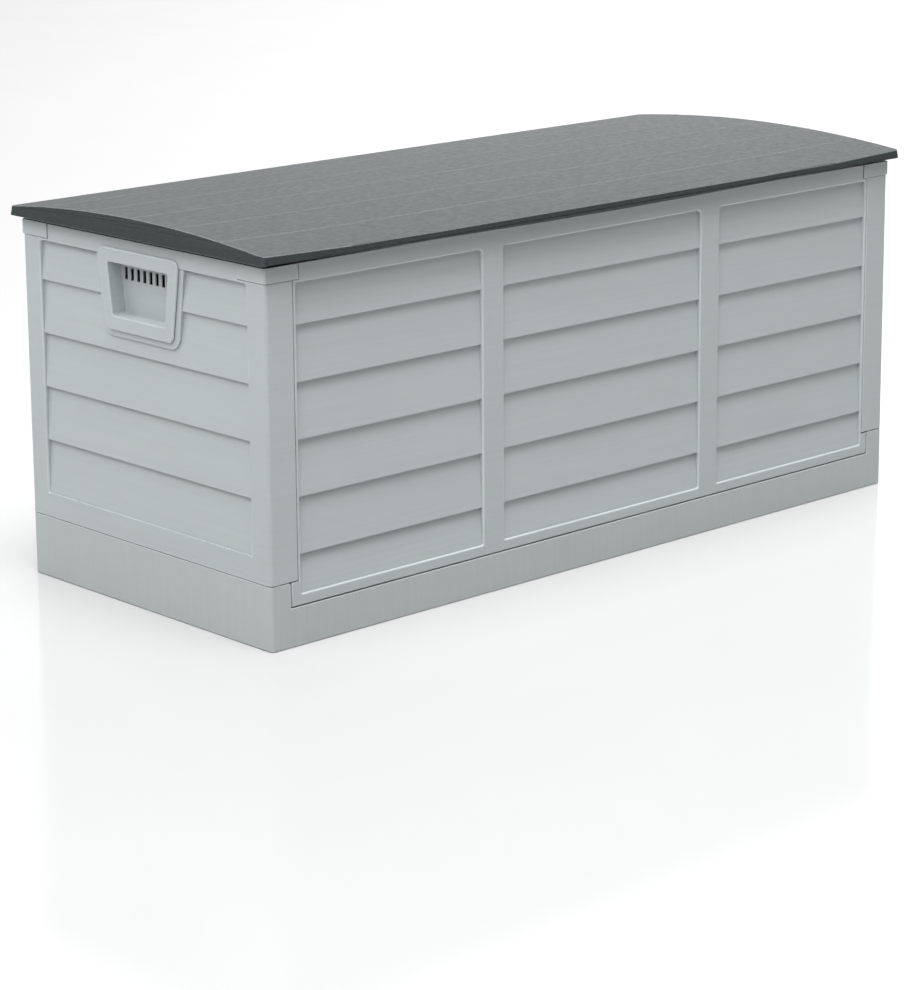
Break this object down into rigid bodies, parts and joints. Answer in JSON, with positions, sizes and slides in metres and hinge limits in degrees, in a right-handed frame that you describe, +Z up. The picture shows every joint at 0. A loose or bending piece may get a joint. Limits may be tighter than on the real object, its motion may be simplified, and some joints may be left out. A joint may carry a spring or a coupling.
{
  "type": "deck storage box",
  "caption": "Fold-flat outdoor deck box with clapboard walls, a low tray base, hinged domed lid and end handles.",
  "frame": {"origin": "on the floor, under the middle of the box's overall outline", "axes": "+Z up, +X along the length towards the right end seen from the front, the front faces -Y"},
  "size_m": [1.124, 0.4926, 0.4846],
  "materials": {
    "tray_plastic": "light grey moulded polypropylene, fine even grain",
    "wall_plastic": "light cool grey moulded polypropylene, soft satin grain",
    "lid_plastic": "mid grey moulded polypropylene with a mottled grain",
    "hook_plastic": "pale grey tough plastic",
    "steel": "plain zinc-plated steel rod"
  },
  "bodies": {
    "base": {"base_tray": "tray_plastic", "left_end_panel": "wall_plastic", "right_end_panel": "wall_plastic", "left_handle": "wall_plastic", "right_handle": "wall_plastic", "corner_block_front_left": "wall_plastic", "corner_block_back_left": "wall_plastic", "corner_block_front_right": "wall_plastic", "corner_block_back_right": "wall_plastic", "front_pivot_pin_left": "steel", "front_pivot_pin_right": "steel", "back_pivot_pin_left": "steel", "back_pivot_pin_right": "steel"},
    "front_panel": {"front_panel": "wall_plastic"},
    "back_panel": {"back_panel": "wall_plastic"},
    "hinge_pins": {"hinge_pin_left": "steel", "hinge_pin_middle": "steel", "hinge_pin_right": "steel"},
    "lid": {"lid": "lid_plastic", "hinge_hook_left_a": "hook_plastic", "hinge_hook_left_b": "hook_plastic", "hinge_hook_middle_a": "hook_plastic", "hinge_hook_middle_b": "hook_plastic", "hinge_hook_right_a": "hook_plastic", "hinge_hook_right_b": "hook_plastic"}
  },
  "joints": [
    {"name": "lid_lift", "type": "slide", "parent": "base", "child": "hinge_pins", "axis": [0, 0, 1], "range_m": [0, 0.12]},
    {"name": "lid_hinge", "type": "hinge", "parent": "hinge_pins", "child": "lid", "pos_m": [0, 0.229, 0.449], "axis": [-1, 0, 0], "range_deg": [0, 95]},
    {"name": "front_fold", "type": "hinge", "parent": "base", "child": "front_panel", "pos_m": [0, -0.222, 0.022], "axis": [-1, 0, 0], "range_deg": [0, 90]},
    {"name": "back_fold", "type": "hinge", "parent": "base", "child": "back_panel", "pos_m": [0, 0.222, 0.04], "axis": [1, 0, 0], "range_deg": [0, 90]}
  ]
}
